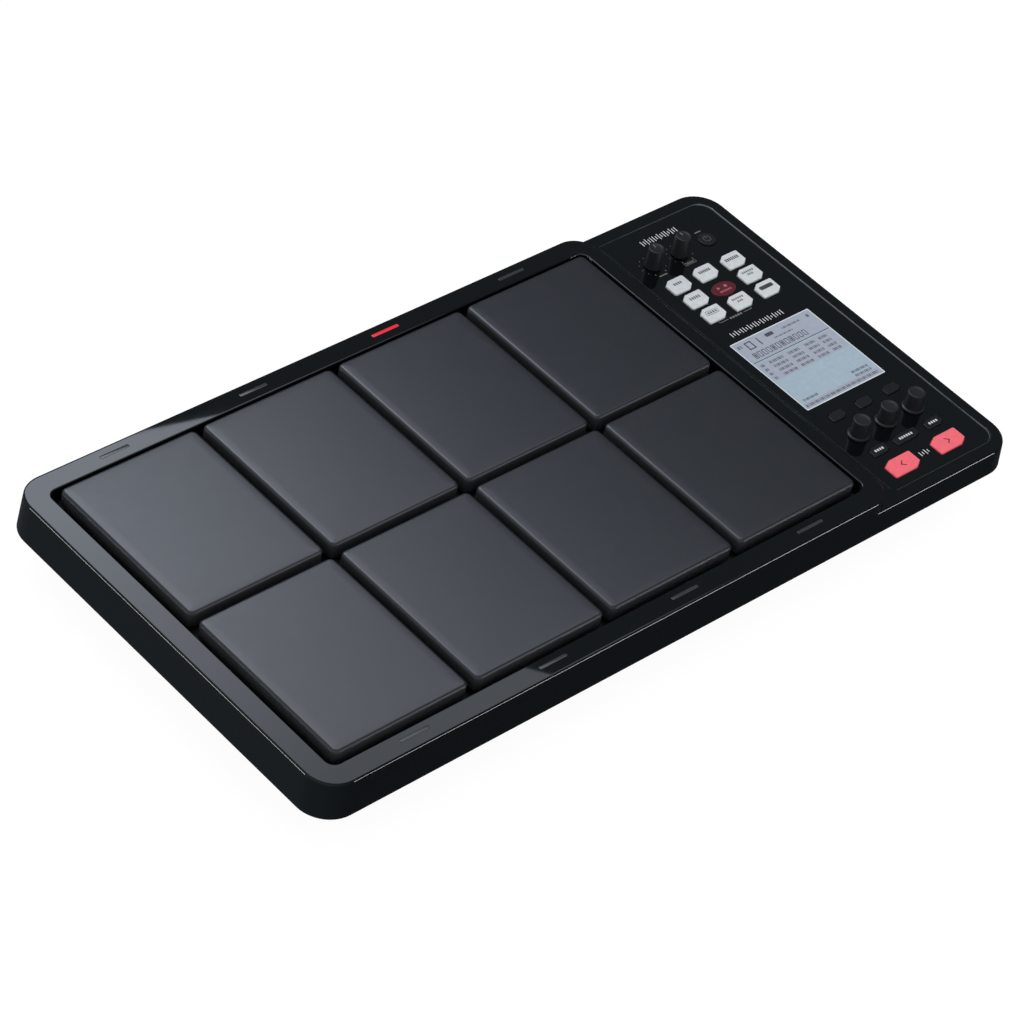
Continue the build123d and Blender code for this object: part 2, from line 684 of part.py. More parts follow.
def stand_mount_plate():
    """Steel plate flush with the underside, held by a flange inside, with four M6 holes."""
    middle = (0, MOUNT_MID_Y)
    size = (MOUNT_WINDOW[0] - 2 * FIT, MOUNT_WINDOW[1] - 2 * FIT)
    top = FLOOR_TOP_Z + MOUNT_FLANGE_THICKNESS
    plate = centred_slab(middle, size, (CHASSIS_BOTTOM_Z, FLOOR_TOP_Z), 4.0)
    plate += centred_slab(middle, MOUNT_FLANGE, (FLOOR_TOP_Z, top), 4.0)
    for i in (-1, 1):
        for j in (-1, 1):
            place = (i * MOUNT_SPACING[0] / 2, MOUNT_MID_Y + j * MOUNT_SPACING[1] / 2)
            plate -= drum(place, MOUNT_HOLE_RADIUS, (CHASSIS_BOTTOM_Z, top))
    for place in MOUNT_SCREW_PLACES:
        plate -= drum(place, SCREW_RADIUS + FIT, (FLOOR_TOP_Z, top))
    return plate


# ---------------------------------------------------------------- main board and sockets
def main_board():
    z_range = (MAIN_BOARD_TOP_Z - BOARD_THICKNESS, MAIN_BOARD_TOP_Z)
    board = slab(MAIN_BOARD_X, MAIN_BOARD_Y, z_range, 3.0)
    for place in CASE_SCREW_PLACES:
        board -= drum(place, TOWER_RADIUS + 0.5, z_range)
    for place in MAIN_SCREW_PLACES:
        board -= drum(place, SCREW_RADIUS + FIT, z_range)
    return board


def board_chips():
    """Processor, memory, sound converter and capacitors on the main board."""
    low = MAIN_BOARD_TOP_Z
    chips = [
        centred_slab((x, CHIP_Y), (length, width), (low, low + height), 0.5)
        for x, length, width, height in FLAT_CHIPS
    ]
    for x in CAPACITOR_X:
        chips.append(drum((x, CHIP_Y), CAPACITOR_RADIUS, (low, low + CAPACITOR_HEIGHT)))
    return join(chips)


def socket_block(x, size, top_z):
    """The part of a socket that stands on the board behind the rear wall."""
    y_range = (SOCKET_BODY_FRONT_Y - size[1], SOCKET_BODY_FRONT_Y)
    return slab((x - size[0] / 2, x + size[0] / 2), y_range, (MAIN_BOARD_TOP_Z, top_z))


def jack_sockets():
    """Six 6.35 mm jacks: hi-hat, two triggers, right and left output, headphones."""
    jacks = []
    for x in JACK_X:
        jack = socket_block(x, JACK_BODY, JACK_BODY_TOP_Z)
        jack += rear_drum(x, JACK_BUSHING, (SOCKET_BODY_FRONT_Y, SOCKET_FACE_Y))
        jack += rear_drum(x, JACK_RING, (REAR_WALL_Y, SOCKET_FACE_Y))
        jacks.append(jack - rear_drum(x, JACK_BORE, (SOCKET_FACE_Y - JACK_DEPTH, SOCKET_FACE_Y)))
    return join(jacks)


def midi_socket():
    """Five-pin round socket: a ring slot for the plug's shell and five pin holes."""
    socket = socket_block(MIDI_X, MIDI_BODY, SOCKET_Z + MIDI_RADIUS)
    socket += rear_drum(MIDI_X, MIDI_RADIUS, (SOCKET_BODY_FRONT_Y, SOCKET_FACE_Y))
    mouth = (SOCKET_FACE_Y - MIDI_DEPTH, SOCKET_FACE_Y)
    socket -= rear_drum(MIDI_X, MIDI_SLOT[1], mouth) - rear_drum(MIDI_X, MIDI_SLOT[0], mouth)
    for step in range(5):
        angle = math.radians(45 * step)
        x = MIDI_X + MIDI_PIN_CIRCLE * math.cos(angle)
        z = SOCKET_Z + MIDI_PIN_CIRCLE * math.sin(angle)
        socket -= rear_drum(x, MIDI_PIN_RADIUS, mouth, z)
    return socket


def usb_socket():
    """Square data socket with a tongue in its mouth."""
    def block(size, y_range):
        z_range = (SOCKET_Z - size[1] / 2, SOCKET_Z + size[1] / 2)
        return slab((USB_X - size[0] / 2, USB_X + size[0] / 2), y_range, z_range)

    socket = socket_block(USB_X, USB_BODY, SOCKET_Z + USB_SHELL[1] / 2)
    socket += block(USB_SHELL, (SOCKET_BODY_FRONT_Y, SOCKET_FACE_Y))
    socket -= block(USB_MOUTH, (SOCKET_FACE_Y - USB_DEPTH, SOCKET_FACE_Y))
    return socket + block(USB_TONGUE, (SOCKET_FACE_Y - USB_DEPTH, SOCKET_FACE_Y - TONGUE_SETBACK))


def power_inlet():
    """Round low-voltage socket with a centre pin."""
    back_y = SOCKET_FACE_Y - INLET_DEPTH
    socket = socket_block(INLET_X, INLET_BODY, SOCKET_Z + INLET_RADIUS)
    socket += rear_drum(INLET_X, INLET_RADIUS, (SOCKET_BODY_FRONT_Y, SOCKET_FACE_Y))
    socket -= rear_drum(INLET_X, INLET_BORE, (back_y, SOCKET_FACE_Y))
    return socket + rear_drum(INLET_X, INLET_PIN, (back_y, SOCKET_FACE_Y - TONGUE_SETBACK))


# ---------------------------------------------------------------- screws
def screw(place, seat_z, length, points_up=True):
    """Pan-head screw: the head's flat side is at seat_z, the shank points up or down."""
    way = 1 if points_up else -1
    head = sorted((seat_z - way * SCREW_HEAD_HEIGHT, seat_z))
    shank = sorted((seat_z, seat_z + way * length))
    return drum(place, SCREW_HEAD_RADIUS, head) + drum(place, SCREW_RADIUS, shank)


def case_screws():
    return join([screw(place, TOWER_SEAT_Z, CASE_SCREW) for place in CASE_SCREW_PLACES])


def short_screws():
    """The same M3 screw holds the bed plate, both boards and the stand mounting plate."""
    pieces = [screw(place, BED_TOP_Z - BED_THICKNESS, SHORT_SCREW) for place in BED_SCREW_PLACES]
    board_under = PANEL_BOARD_TOP_Z - BOARD_THICKNESS
    pieces += [screw(place, board_under, SHORT_SCREW) for place in PANEL_SCREW_PLACES]
    pieces += [screw(place, MAIN_BOARD_TOP_Z, BOARD_SCREW, False) for place in MAIN_SCREW_PLACES]
    plate_top = FLOOR_TOP_Z + MOUNT_FLANGE_THICKNESS
    reach = plate_top - CHASSIS_BOTTOM_Z
    pieces += [screw(place, plate_top, reach, False) for place in MOUNT_SCREW_PLACES]
    return join(pieces)


# ---------------------------------------------------------------- assembly
def build():
    keep("upper_shell", upper_shell())
    keep("led_light_bars", light_bars())
    keep("led_boards", led_boards())
    for number, place in enumerate(pad_places(), 1):
        keep(f"rubber_pad_{number}", rubber_pad(place))
    keep("pad_bed_plate", bed_plate())
    keep("pad_foam", foam_frames())
    keep("pad_sensors", sensors())
    keep("panel_plate", panel_plate())
    keep("lcd_lens", screen_slab(0, (PANEL_TOP_Z - LENS_THICKNESS, PANEL_TOP_Z)))
    keep("lcd_module", lcd_module())
    keep("panel_board", panel_board())
    keep("tact_switches", tact_switches())
    for name, outline, middle, size, proud in push_buttons():
        keep(name, button(outline, middle, size, proud))
    for number, place in enumerate(volume_places(), 1):
        keep(f"volume_knob_{number}", knob(place, VOLUME_RADIUS, VOLUME_TOP_Z))
        keep(f"volume_shaft_{number}", shaft(place, VOLUME_TOP_Z))
    for number, place in enumerate(encoder_places(), 1):
        keep(f"encoder_knob_{number}", knob(place, ENCODER_RADIUS, ENCODER_TOP_Z, skirt=True))
        keep(f"encoder_shaft_{number}", shaft(place, ENCODER_TOP_Z))
    keep("volume_pots", rotary_bodies(volume_places()))
    keep("rotary_encoders", rotary_bodies(encoder_places()))
    keep("lower_chassis", lower_chassis())
    keep("rubber_feet", rubber_feet())
    keep("stand_mount_plate", stand_mount_plate())
    keep("main_board", main_board())
    keep("board_chips", board_chips())
    keep("jack_sockets", jack_sockets())
    keep("midi_socket", midi_socket())
    keep("usb_socket", usb_socket())
    keep("power_inlet", power_inlet())
    keep("case_screws", case_screws())
    keep("short_screws", short_screws())


os.makedirs("parts", exist_ok=True)
build()
for node_name, shape in NODES.items():
    export_step(shape, f"parts/{node_name}.step")
print(len(NODES), "nodes")
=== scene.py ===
import math

import bmesh
import bpy
from mathutils import Matrix, Vector


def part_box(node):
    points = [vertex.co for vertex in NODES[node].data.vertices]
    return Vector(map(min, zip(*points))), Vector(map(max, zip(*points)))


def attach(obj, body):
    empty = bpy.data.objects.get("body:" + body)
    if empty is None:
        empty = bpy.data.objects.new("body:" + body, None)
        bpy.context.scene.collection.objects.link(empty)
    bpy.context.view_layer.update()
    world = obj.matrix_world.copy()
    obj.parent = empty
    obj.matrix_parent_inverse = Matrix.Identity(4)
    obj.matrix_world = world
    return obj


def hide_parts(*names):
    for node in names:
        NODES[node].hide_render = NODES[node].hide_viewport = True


# Looks of the electronic drum pad. Lengths are metres; MM turns millimetres into metres.
# Places come from the CAD nodes' boxes, so the pieces here follow the frame.
MM = 0.001
INK_HEIGHT = 0.04 * MM      # printed marks stand this proud, so that they never flicker
DECK_RISE = 0.8 * MM        # the deck round the panel stands this far above it
ROUND_STEPS = 8             # straight runs in a rounded corner

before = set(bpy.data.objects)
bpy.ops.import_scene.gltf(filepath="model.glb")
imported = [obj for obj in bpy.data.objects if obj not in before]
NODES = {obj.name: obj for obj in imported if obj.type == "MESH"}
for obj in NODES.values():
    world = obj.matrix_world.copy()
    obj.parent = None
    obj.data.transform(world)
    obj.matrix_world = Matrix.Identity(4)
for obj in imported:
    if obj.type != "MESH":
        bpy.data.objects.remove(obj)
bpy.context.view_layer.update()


# ---------------------------------------------------------------- places from the frame
def low(node):
    """Lowest corner of a node's box."""
    return Vector(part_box(node)[0])


def high(node):
    """Highest corner of a node's box."""
    return Vector(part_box(node)[1])


def middle(node):
    """Centre of a node's box."""
    return (low(node) + high(node)) / 2


def names(pattern, count):
    """The pattern with 1 to count filled in."""
    return [pattern.format(number) for number in range(1, count + 1)]


RIM_Z = high("upper_shell").z
PANEL_Z = high("panel_plate").z
DECK_Z = PANEL_Z + DECK_RISE
SCREEN_Z = high("lcd_lens").z
PADS = names("rubber_pad_{}", 8)
VOLUME_KNOBS = names("volume_knob_{}", 2)
ENCODER_KNOBS = names("encoder_knob_{}", 3)
SCREEN_KEYS = names("screen_key_{}", 3)
MENU_KEYS = ["menu_button", "click_button", "back_button"]
KIT_KEYS = ["kit_down_button", "kit_up_button"]
WHITE_KEYS = [
    "metronome_button", "mixer_button", "effects_button", "song_button", "reverb_button",
    "setup_button", "mute_button", "save_button",
]


# ---------------------------------------------------------------- camera
VIEW_AZIMUTH = -50.15       # degrees, from straight in front towards the left
VIEW_ELEVATION = 41.866
VIEW_ROLL = 12.408
VIEW_DISTANCE = 2.310
VIEW_SLIDE = (-0.00709, -0.00893)       # right and up, so that the object sits as framed
VIEW_AIM = Vector((0, 0, 0.0245))
LENS_MM = 143.98
SENSOR_MM = 36.0


def place_camera():
    """Long lens, from the front left and above, turned a little about its own axis."""
    azimuth = math.radians(VIEW_AZIMUTH)
    elevation = math.radians(VIEW_ELEVATION)
    roll = math.radians(VIEW_ROLL)
    back = Vector((
        math.sin(azimuth) * math.cos(elevation),
        -math.cos(azimuth) * math.cos(elevation),
        math.sin(elevation),
    ))
    level = (-back).cross(Vector((0, 0, 1))).normalized()
    upright = level.cross(-back)
    right = math.cos(roll) * level + math.sin(roll) * upright
    up = -math.sin(roll) * level + math.cos(roll) * upright
    place = VIEW_AIM + VIEW_DISTANCE * back + VIEW_SLIDE[0] * right + VIEW_SLIDE[1] * up
    data = bpy.data.cameras.new("camera")
    data.lens = LENS_MM
    data.sensor_width = SENSOR_MM
    data.clip_end = 60.0
    camera = bpy.data.objects.new("camera", data)
    camera.matrix_world = Matrix.Translation(place) @ Matrix((right, up, back)).transposed().to_4x4()
    bpy.context.collection.objects.link(camera)
    bpy.context.scene.camera = camera
    return place


# ---------------------------------------------------------------- mesh helpers
def link_mesh(name, mesh, material, smooth_angle=None):
    """Make the mesh an object with its material; shade smooth below an angle if asked."""
    piece = bpy.data.objects.new(name, mesh)
    bpy.context.collection.objects.link(piece)
    mesh.materials.append(material)
    if smooth_angle is not None:
        mesh.shade_smooth()
        mesh.set_sharp_from_angle(angle=math.radians(smooth_angle))
    return piece


def finish_mesh(name, build, material, smooth_angle=30):
    """Turn a bmesh into a closed, outward-facing object."""
    bmesh.ops.recalc_face_normals(build, faces=build.faces)
    mesh = bpy.data.meshes.new(name)
    build.to_mesh(mesh)
    build.free()
    return link_mesh(name, mesh, material, smooth_angle)


def rounded_rectangle(centre, width, depth, radii, steps=ROUND_STEPS):
    """Counter-clockwise loop. radii: one number, or four from the front left corner round."""
    if not isinstance(radii, (tuple, list)):
        radii = (radii,) * 4
    corners = ((-1, -1, 180), (1, -1, 270), (1, 1, 0), (-1, 1, 90))
    loop = []
    for (side_x, side_y, start), radius in zip(corners, radii):
        hub_x = centre[0] + side_x * (width / 2 - radius)
        hub_y = centre[1] + side_y * (depth / 2 - radius)
        for step in range(steps + 1):
            angle = math.radians(start + 90 * step / steps)
            loop.append((hub_x + radius * math.cos(angle), hub_y + radius * math.sin(angle)))
    return loop


def circle(centre, radius, steps):
    """Counter-clockwise loop of equal steps."""
    turn = 2 * math.pi / steps
    return [
        (centre[0] + radius * math.cos(turn * i), centre[1] + radius * math.sin(turn * i))
        for i in range(steps)
    ]


def join_rings(build, first, second):
    """Quads between two rings with equal numbers of points."""
    for i in range(len(first)):
        j = (i + 1) % len(first)
        build.faces.new((first[i], first[j], second[j], second[i]))


def add_rings(build, loops):
    """Rings of points in the bmesh, one for each loop of (x, y, z)."""
    return [[build.verts.new(point) for point in loop] for loop in loops]


def skin_loops(build, loops):
    """A closed body through a stack of equal loops, each a list of (x, y, z)."""
    rings = add_rings(build, loops)
    for lower, upper in zip(rings, rings[1:]):
        join_rings(build, lower, upper)
    build.faces.new(list(reversed(rings[0])))
    build.faces.new(rings[-1])


def skin_round(build, loops):
    """A closed tube: the loops joined in turn, and the last one back to the first."""
    rings = add_rings(build, loops)
    for first, second in zip(rings, rings[1:] + rings[:1]):
        join_rings(build, first, second)


def at_height(loop, z):
    """A flat loop lifted to a height."""
    return [(x, y, z) for x, y in loop]


def add_prism(build, loop, z_low, z_high):
    """A closed flat block above an outline."""
    skin_loops(build, [at_height(loop, z_low), at_height(loop, z_high)])


def add_ring(build, outer, inner, z_low, z_high):
    """A closed flat ring between two outlines with equal numbers of points."""
    skin_round(build, [
        at_height(outer, z_low), at_height(outer, z_high),
        at_height(inner, z_high), at_height(inner, z_low),
    ])


def add_bar(build, centre, length, width, z, turn=0.0, corner=None):
    """A printed bar, turned about the vertical by an angle in degrees."""
    corner = min(length, width) / 4 if corner is None else corner
    cos, sin = math.cos(math.radians(turn)), math.sin(math.radians(turn))
    outline = rounded_rectangle((0, 0), length, width, corner, 3)
    loop = [(centre[0] + cos * x - sin * y, centre[1] + sin * x + cos * y) for x, y in outline]
    add_prism(build, loop, z, z + INK_HEIGHT)


def add_stroke(build, start, end, width, z):
    """A printed line between two points."""
    dx, dy = end[0] - start[0], end[1] - start[1]
    centre = ((start[0] + end[0]) / 2, (start[1] + end[1]) / 2)
    length = math.hypot(dx, dy) + width
    add_bar(build, centre, length, width, z, math.degrees(math.atan2(dy, dx)), width / 2.2)


def prints(name, draw, material, body):
    """One piece made of many printed marks; draw fills the bmesh."""
    build = bmesh.new()
    draw(build)
    piece = finish_mesh(name, build, material, None)
    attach(piece, body)


# ---------------------------------------------------------------- material helpers
def new_material(name, colour, roughness, **settings):
    """Principled material; settings are socket names with spaces as underscores."""
    material = bpy.data.materials.new(name)
    material.use_nodes = True
    shader = material.node_tree.nodes["Principled BSDF"]
    shader.inputs["Base Color"].default_value = (*colour, 1)
    shader.inputs["Roughness"].default_value = roughness
    for key, value in settings.items():
        socket = shader.inputs[key.replace("_", " ")]
        socket.default_value = (*value, 1) if isinstance(value, tuple) else value
    return material


def add_node(material, kind, **values):
    """New shader node; values are socket names with spaces as underscores."""
    node = material.node_tree.nodes.new(kind)
    for key, value in values.items():
        node.inputs[key.replace("_", " ")].default_value = value
    return node


def wire(material, source, target):
    """Link one shader socket to another."""
    material.node_tree.links.new(source, target)


def shader_of(material):
    """The material's main shader."""
    return material.node_tree.nodes["Principled BSDF"]


def object_noise(material, size, detail=2.0, stretch=(1, 1, 1)):
    """Noise whose features are about this many metres across."""
    place = add_node(material, "ShaderNodeTexCoord")
    mapping = add_node(material, "ShaderNodeMapping")
    mapping.inputs["Scale"].default_value = stretch
    noise = add_node(material, "ShaderNodeTexNoise", Scale=1 / size, Detail=detail)
    wire(material, place.outputs["Object"], mapping.inputs["Vector"])
    wire(material, mapping.outputs["Vector"], noise.inputs["Vector"])
    return noise.outputs["Fac"]


def span(material, source, low_value, high_value, low_at=0.3, high_at=0.7):
    """Turn a signal between low_at and high_at into one between low_value and high_value."""
    node = add_node(material, "ShaderNodeMapRange")
    node.inputs["From Min"].default_value = low_at
    node.inputs["From Max"].default_value = high_at
    node.inputs["To Min"].default_value = low_value
    node.inputs["To Max"].default_value = high_value
    wire(material, source, node.inputs["Value"])
    return node.outputs["Result"]


def colour_mix(material, source):
    """Blend of two colours by a signal, wired to the base colour. Returns its two colour sockets."""
    mix = add_node(material, "ShaderNodeMix")
    mix.data_type = "RGBA"
    wire(material, source, mix.inputs["Factor"])
    result = [socket for socket in mix.outputs if socket.type == "RGBA"][0]
    wire(material, result, shader_of(material).inputs["Base Color"])
    return [socket for socket in mix.inputs if socket.type == "RGBA"]


def vary_colour(material, source, first, second):
    """Blend two colours by a signal into the base colour."""
    for socket, colour in zip(colour_mix(material, source), (first, second)):
        socket.default_value = (*colour, 1)


def paint_side_light(material, colour):
    """Painted light: blend the base colour to another one where the surface faces sideways, so that
    upright walls read as lit.
    """
    plain = shader_of(material).inputs["Base Color"].links[0].from_socket
    place = add_node(material, "ShaderNodeTexCoord")
    split = add_node(material, "ShaderNodeSeparateXYZ")
    wire(material, place.outputs["Normal"], split.inputs["Vector"])
    top, side = colour_mix(material, span(material, split.outputs["Z"], 1, 0, 0.3, 0.9))
    wire(material, plain, top)
    side.default_value = (*colour, 1)


def vary_roughness(material, source, smooth, rough):
    """Spread the roughness between two values by a signal."""
    wire(material, span(material, source, smooth, rough), shader_of(material).inputs["Roughness"])


def add_bump(material, source, depth, strength=1.0):
    """Bump of this depth in metres, on top of any bump that is already there."""
    bump = add_node(material, "ShaderNodeBump", Strength=strength, Distance=depth)
    normal = shader_of(material).inputs["Normal"]
    if normal.links:
        wire(material, normal.links[0].from_socket, bump.inputs["Normal"])
    wire(material, source, bump.inputs["Height"])
    wire(material, bump.outputs["Normal"], normal)


def moulded(name, colour, roughness, grain, depth, **settings):
    """Moulded plastic or rubber: grain, faint mottling and uneven gloss."""
    material = new_material(name, colour, roughness, **settings)
    mottle = object_noise(material, 3 * MM, 4)
    dark = tuple(channel * 0.93 for channel in colour)
    light = tuple(min(channel * 1.07, 1) for channel in colour)
    vary_colour(material, span(material, mottle, 0, 1), dark, light)
    gloss = object_noise(material, 5 * MM, 4)
    vary_roughness(material, gloss, roughness * 0.96, min(roughness * 1.04, 1))
    add_bump(material, object_noise(material, grain, 2), depth)
    return material


def piano_black(name):
    """Deep gloss lacquer: almost flat, with orange peel and faint wiping marks."""
    material = new_material(name, (0.0022, 0.0030, 0.0036), 0.03, IOR=1.5)
    vary_roughness(material, object_noise(material, 30 * MM, 5, (1, 3, 1)), 0.015, 0.035)
    add_bump(material, object_noise(material, 12 * MM, 1), 0.0008 * MM)
    return material


def lit(name, colour, glow, strength, roughness=0.35):
    """Translucent silicone or lens lit from behind, its glow a little uneven."""
    material = moulded(name, colour, roughness, 0.5 * MM, 0.01 * MM)
    shader = shader_of(material)
    shader.inputs["Emission Color"].default_value = (*glow, 1)
    cloud = object_noise(material, 9 * MM, 1)
    uneven = span(material, cloud, strength * 0.97, strength * 1.03)
    wire(material, uneven, shader.inputs["Emission Strength"])
    return material


def metal(name, colour, roughness, stretch=(1, 40, 1)):
    """Brushed or plated metal."""
    material = new_material(name, colour, roughness, Metallic=1.0)
    grain = object_noise(material, 6 * MM, 4, stretch)
    vary_roughness(material, grain, roughness * 0.75, roughness * 1.3)
    add_bump(material, grain, 0.004 * MM)
    return material


def printed(name, colour):
    """Screen-printed ink: thin, matt and a little uneven."""
    return moulded(name, colour, 0.5, 0.2 * MM, 0.005 * MM)


def make_materials():
    """Every material of the object, by a short key."""
    pale = (0.66, 0.655, 0.68)
    kit = {
        "case": piano_black("piano_black_case"),
        "panel": piano_black("panel_gloss"),
        "chassis": moulded("chassis_plastic", (0.017, 0.017, 0.018), 0.55, 0.5 * MM, 0.05 * MM),
        "pad": moulded("pad_rubber", (0.0065, 0.0080, 0.0140), 0.36, 0.35 * MM, 0.010 * MM,
                       Specular_IOR_Level=0.80),
        "foot": moulded("foot_rubber", (0.030, 0.030, 0.032), 0.7, 0.6 * MM, 0.05 * MM),
        "foam": moulded("foam", (0.012, 0.012, 0.012), 0.9, 0.8 * MM, 0.15 * MM),
        "white": moulded("white_silicone", pale, 0.38, 0.3 * MM, 0.012 * MM, Subsurface_Weight=0.15),
        "red": lit("red_silicone", (0.075, 0.006, 0.013), (0.42, 0.015, 0.035), 0.06),
        "pink": lit("pink_silicone", (0.62, 0.10, 0.13), (0.80, 0.11, 0.14), 0.35),
        "dark": moulded("dark_silicone", (0.0065, 0.0078, 0.0090), 0.36, 0.3 * MM, 0.010 * MM),
        "knob": moulded("knob_plastic", (0.0135, 0.0150, 0.0170), 0.36, 0.35 * MM, 0.006 * MM,
                        Specular_IOR_Level=0.4),
        "bar": moulded("light_bar", (0.035, 0.038, 0.042), 0.12, 0.6 * MM, 0.004 * MM),
        "bar_lit": lit("light_bar_lit", (0.30, 0.008, 0.014), (1.0, 0.022, 0.05), 0.50, 0.25),
        "screen": lit("screen_lens", (0.22, 0.28, 0.33), (0.33, 0.42, 0.50), 0.40, 0.12),
        "board": moulded("circuit_board", (0.02, 0.11, 0.045), 0.3, 1.2 * MM, 0.02 * MM),
        "chip": moulded("electronics", (0.02, 0.02, 0.02), 0.5, 0.3 * MM, 0.02 * MM),
        "socket": moulded("socket_plastic", (0.018, 0.018, 0.018), 0.45, 0.4 * MM, 0.02 * MM),
        "steel": metal("steel_plate", (0.42, 0.43, 0.44), 0.35),
        "black_steel": moulded("black_steel", (0.006, 0.006, 0.007), 0.5, 0.3 * MM, 0.01 * MM),
        "plated": metal("plated_metal", (0.66, 0.66, 0.68), 0.18),
        "screw": metal("screw_steel", (0.16, 0.16, 0.17), 0.32, (12, 12, 1)),
        "brass": metal("sensor_brass", (0.66, 0.47, 0.20), 0.3),
        "trim": metal("panel_edge", (0.50, 0.48, 0.46), 0.42, (3, 3, 1)),
        # Painted highlight: a pale line in place of the light that the recess's front and left edge
        # would catch.
        "lip": moulded("lip_line", (0.035, 0.038, 0.040), 0.3, 0.4 * MM, 0.005 * MM),
        "ink": printed("white_ink", (0.66, 0.67, 0.68)),
        "faint_ink": printed("faint_ink", (0.16, 0.165, 0.17)),
        "grey_ink": printed("grey_ink", (0.105, 0.11, 0.125)),
        "dark_ink": printed("dark_ink", (0.045, 0.048, 0.055)),
        "dim_pink_ink": printed("dim_pink_ink", (0.42, 0.10, 0.15)),
        "red_ink": printed("dark_red_ink", (0.22, 0.008, 0.016)),
        "pixel": moulded("screen_pixels", (0.075, 0.080, 0.105), 0.3, 0.4 * MM, 0.002 * MM),
        "pixel_soft": moulded("screen_pixels_soft", (0.125, 0.130, 0.165), 0.3, 0.4 * MM, 0.002 * MM),
        "screen_light": lit("screen_light_area", (0.225, 0.248, 0.305), (0.40, 0.44, 0.54), 0.32, 0.2),
        "edge_light": lit("screen_border", (0.55, 0.57, 0.60), (0.6, 0.62, 0.66), 0.3, 0.3),
    }
    # Painted light: the pads' upright walls are paler, in place of the light that falls on them.
    paint_side_light(kit["pad"], (0.028, 0.031, 0.036))
    return kit


CAD_LOOKS = {
    "case": ["upper_shell"],
    "panel": ["panel_plate"],
    "chassis": ["lower_chassis"],
    "foot": ["rubber_feet"],
    "foam": ["pad_foam"],
    "white": WHITE_KEYS,
    "red": ["start_button"],
    "pink": KIT_KEYS,
    "dark": SCREEN_KEYS + MENU_KEYS + ["power_button"],
    "screen": ["lcd_lens"],
    "board": ["led_boards", "panel_board", "main_board"],
    "chip": ["board_chips", "tact_switches", "lcd_module"],
    "socket": ["jack_sockets", "midi_socket", "power_inlet"],
    "black_steel": ["pad_bed_plate"],
    "steel": ["stand_mount_plate", "volume_pots", "rotary_encoders"],
    "plated": ["usb_socket"] + names("volume_shaft_{}", 2) + names("encoder_shaft_{}", 3),
    "screw": ["case_screws", "short_screws"],
    "brass": ["pad_sensors"],
}


def dress_cad(kit):
    """Give every CAD node that stays in view its material."""
    for look, nodes in CAD_LOOKS.items():
        for node in nodes:
            for slot in NODES[node].material_slots:
                slot.material = kit[look]


# ---------------------------------------------------------------- pads
def pad_mesh(node, kit):
    """Moulded rubber pad: upright wall, rolled edge, and a top that is barely crowned."""
    centre, size = middle(node), high(node) - low(node)
    top = high(node).z
    edge, corner, crown = 2.2 * MM, 3.8 * MM, 0.15 * MM
    edge_steps, crown_steps = 6, 9
    wall_foot = top - 10.5 * MM
    profile = [(0.25 * MM, wall_foot), (0, wall_foot + 0.3 * MM), (0, top - crown - edge)]
    for step in range(1, edge_steps + 1):
        angle = math.radians(90 * step / edge_steps)
        profile.append((edge * (1 - math.cos(angle)), top - crown - edge * (1 - math.sin(angle))))
    reach = min(size.x, size.y) / 2
    for step in range(1, crown_steps):
        share = step / crown_steps
        inset = edge + (reach - edge) * share
        profile.append((inset, top - crown * (1 - share) ** 2))
    loops = []
    for inset, z in profile:
        radius = max(corner - inset, 0.35 * MM)
        width, depth = size.x - 2 * inset, size.y - 2 * inset
        loops.append(at_height(rounded_rectangle(centre, width, depth, radius), z))
    build = bmesh.new()
    skin_loops(build, loops)
    piece = finish_mesh("skin_" + node, build, kit["pad"], 50)
    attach(piece, node)
    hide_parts(node)


# ---------------------------------------------------------------- light bars
def light_bars(kit):
    """Eight clear bars, rounded on top; the third in the rear row is lit."""
    lower, upper = low("led_light_bars"), high("led_light_bars")
    length = 19.8 * MM
    width = 2.2 * MM
    flange = 1.1 * MM
    columns = 4
    lit_number = 3
    side = [(0, 2.4 * MM), (0, 0.12 * MM), (0.1 * MM, 0.03 * MM), (0.3 * MM, 0)]    # inset, drop
    pitch = (upper.x - lower.x - length) / (columns - 1)
    for row, y in enumerate((upper.y - width / 2 - flange, lower.y + width / 2 + flange)):
        for column in range(columns):
            centre = (lower.x + length / 2 + column * pitch, y)
            build = bmesh.new()
            loops = []
            for inset, drop in side:
                outline = rounded_rectangle(centre, length - 2 * inset, width - 2 * inset, 0.7 * MM, 4)
                loops.append(at_height(outline, RIM_Z - drop))
            skin_loops(build, loops)
            number = row * columns + column + 1
            look = "bar_lit" if number == lit_number else "bar"
            piece = finish_mesh(f"light_bar_{number}", build, kit[look], 40)
            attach(piece, "case")
            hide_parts("led_light_bars")


# ---------------------------------------------------------------- knobs
KNOB_STEPS = 144
FLUTES = 24
FLUTE_DEPTH = 0.07 * MM


def turned(name, place, profile, material, body):
    """A turned piece: profile points are (radius, z, fluted), from the foot to the middle of the top."""
    build = bmesh.new()
    loops = []
    for radius, z, fluted in profile:
        loop = []
        for step in range(KNOB_STEPS):
            angle = 2 * math.pi * step / KNOB_STEPS
            ripple = FLUTE_DEPTH * (0.5 + 0.5 * math.cos(FLUTES * angle)) if fluted else 0
            reach = radius - ripple
            loop.append((place.x + reach * math.cos(angle), place.y + reach * math.sin(angle), z))
        loops.append(loop)
    skin_loops(build, loops)
    piece = finish_mesh(name, build, material, 35)
    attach(piece, body)
    return piece


